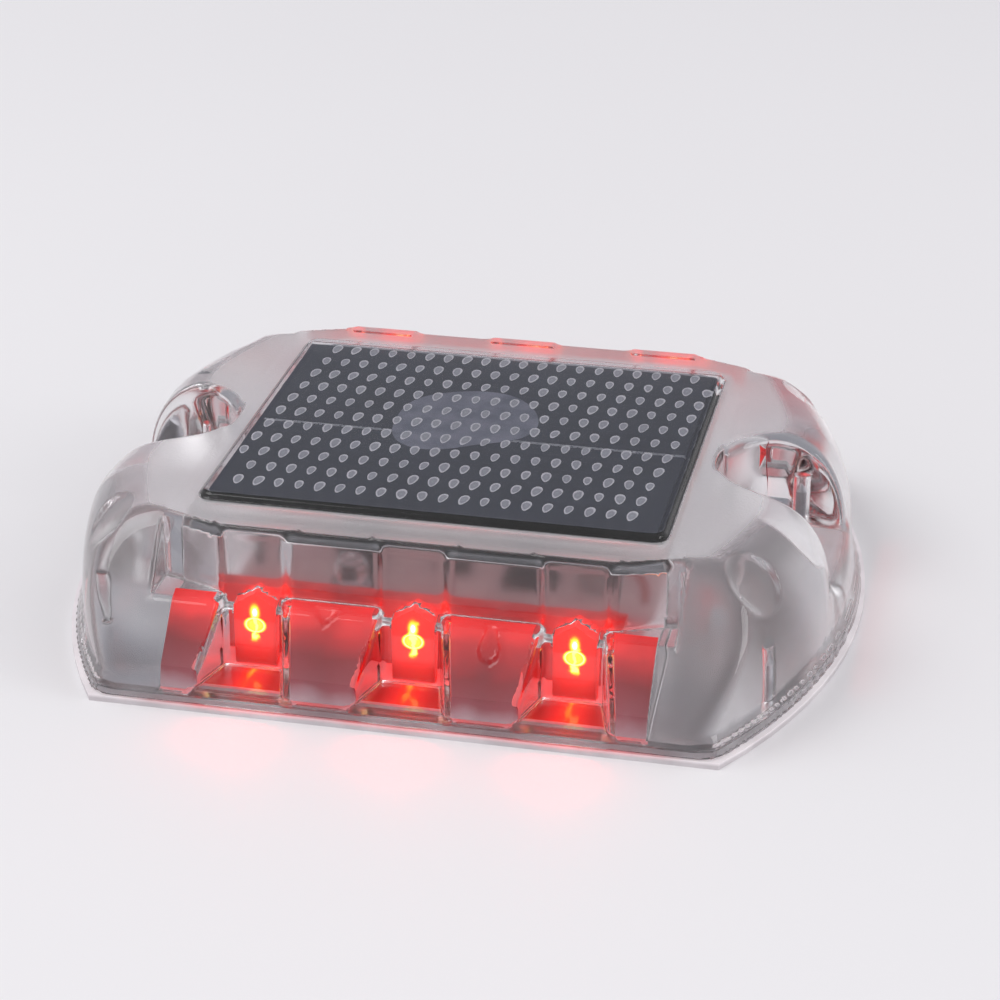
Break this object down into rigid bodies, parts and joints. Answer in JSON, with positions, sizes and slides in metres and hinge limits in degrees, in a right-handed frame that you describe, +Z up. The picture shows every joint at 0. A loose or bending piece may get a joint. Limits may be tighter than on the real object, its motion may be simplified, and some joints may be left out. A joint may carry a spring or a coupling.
{
  "type": "led road stud",
  "caption": "Clear moulded road stud with red lamps along both long sides, a solar panel under its raised window and a U-shaped screw slot at each bowed end.",
  "frame": {"origin": "on the ground, under the centre of the stud", "axes": "+X along the longer side, towards the right-hand screw slot seen from the front lamps; +Y towards the rear lamps; +Z up through the solar window"},
  "size_m": [0.12, 0.0986, 0.025],
  "materials": {
    "clear_housing": "polished clear polycarbonate, frosted on the deck and the shoulders' edges",
    "smoked_base": "translucent polycarbonate, satin",
    "silicon": "dark slate cells with pale dots, laminated",
    "panel_backing": "dark laminate, satin",
    "laminate": "glass-fibre board with dark solder mask",
    "tinned_metal": "tinned, satin",
    "red_lens": "clear red epoxy, lit",
    "clear_lens": "water-clear epoxy",
    "red_plastic": "moulded, satin",
    "black_plastic": "moulded, satin",
    "grey_plastic": "moulded, satin",
    "battery_sleeve": "gloss shrink sleeve over a metal can",
    "clear_silicone": "translucent, satin",
    "rubber": "matte",
    "adhesive": "clear gel, cured",
    "steel": "stainless, satin",
    "ferrite": "sintered, matte",
    "red_wire": "insulation, satin",
    "black_wire": "insulation, satin"
  },
  "bodies": {
    "stud": {"base_gasket": "clear_silicone", "base_plate": "smoked_base", "battery_cell": "battery_sleeve", "battery_cradle": "black_plastic", "battery_tab_negative": "tinned_metal", "battery_tab_positive": "tinned_metal", "capacitor": "grey_plastic", "cell_ribbon": "tinned_metal", "charge_diode": "black_plastic", "controller_chip": "black_plastic", "cover_screw_front_left": "steel", "cover_screw_front_right": "steel", "cover_screw_rear_left": "steel", "cover_screw_rear_right": "steel", "housing": "clear_housing", "inductor": "ferrite", "lamp_bar_front": "red_plastic", "lamp_bar_rear": "red_plastic", "lamp_front_left": "red_lens", "lamp_front_middle": "red_lens", "lamp_front_right": "red_lens", "lamp_lead_a_front_left": "tinned_metal", "lamp_lead_a_front_middle": "tinned_metal", "lamp_lead_a_front_right": "tinned_metal", "lamp_lead_a_rear_left": "tinned_metal", "lamp_lead_a_rear_middle": "tinned_metal", "lamp_lead_a_rear_right": "tinned_metal", "lamp_lead_b_front_left": "tinned_metal", "lamp_lead_b_front_middle": "tinned_metal", "lamp_lead_b_front_right": "tinned_metal", "lamp_lead_b_rear_left": "tinned_metal", "lamp_lead_b_rear_middle": "tinned_metal", "lamp_lead_b_rear_right": "tinned_metal", "lamp_rear_left": "red_lens", "lamp_rear_middle": "red_lens", "lamp_rear_right": "red_lens", "light_sensor": "clear_lens", "main_board": "laminate", "panel_adhesive": "adhesive", "panel_wire_negative": "black_wire", "panel_wire_positive": "red_wire", "push_switch": "black_plastic", "sensor_spacer": "black_plastic", "solar_board": "panel_backing", "solar_cell_front": "silicon", "solar_cell_rear": "silicon"},
    "button": {"power_button": "rubber", "switch_plunger": "grey_plastic"}
  },
  "joints": [
    {"name": "power_press", "type": "slide", "parent": "stud", "child": "button", "axis": [0, 0, 1], "range_m": [0, 0.001], "stiffness_N_per_m": 800}
  ]
}
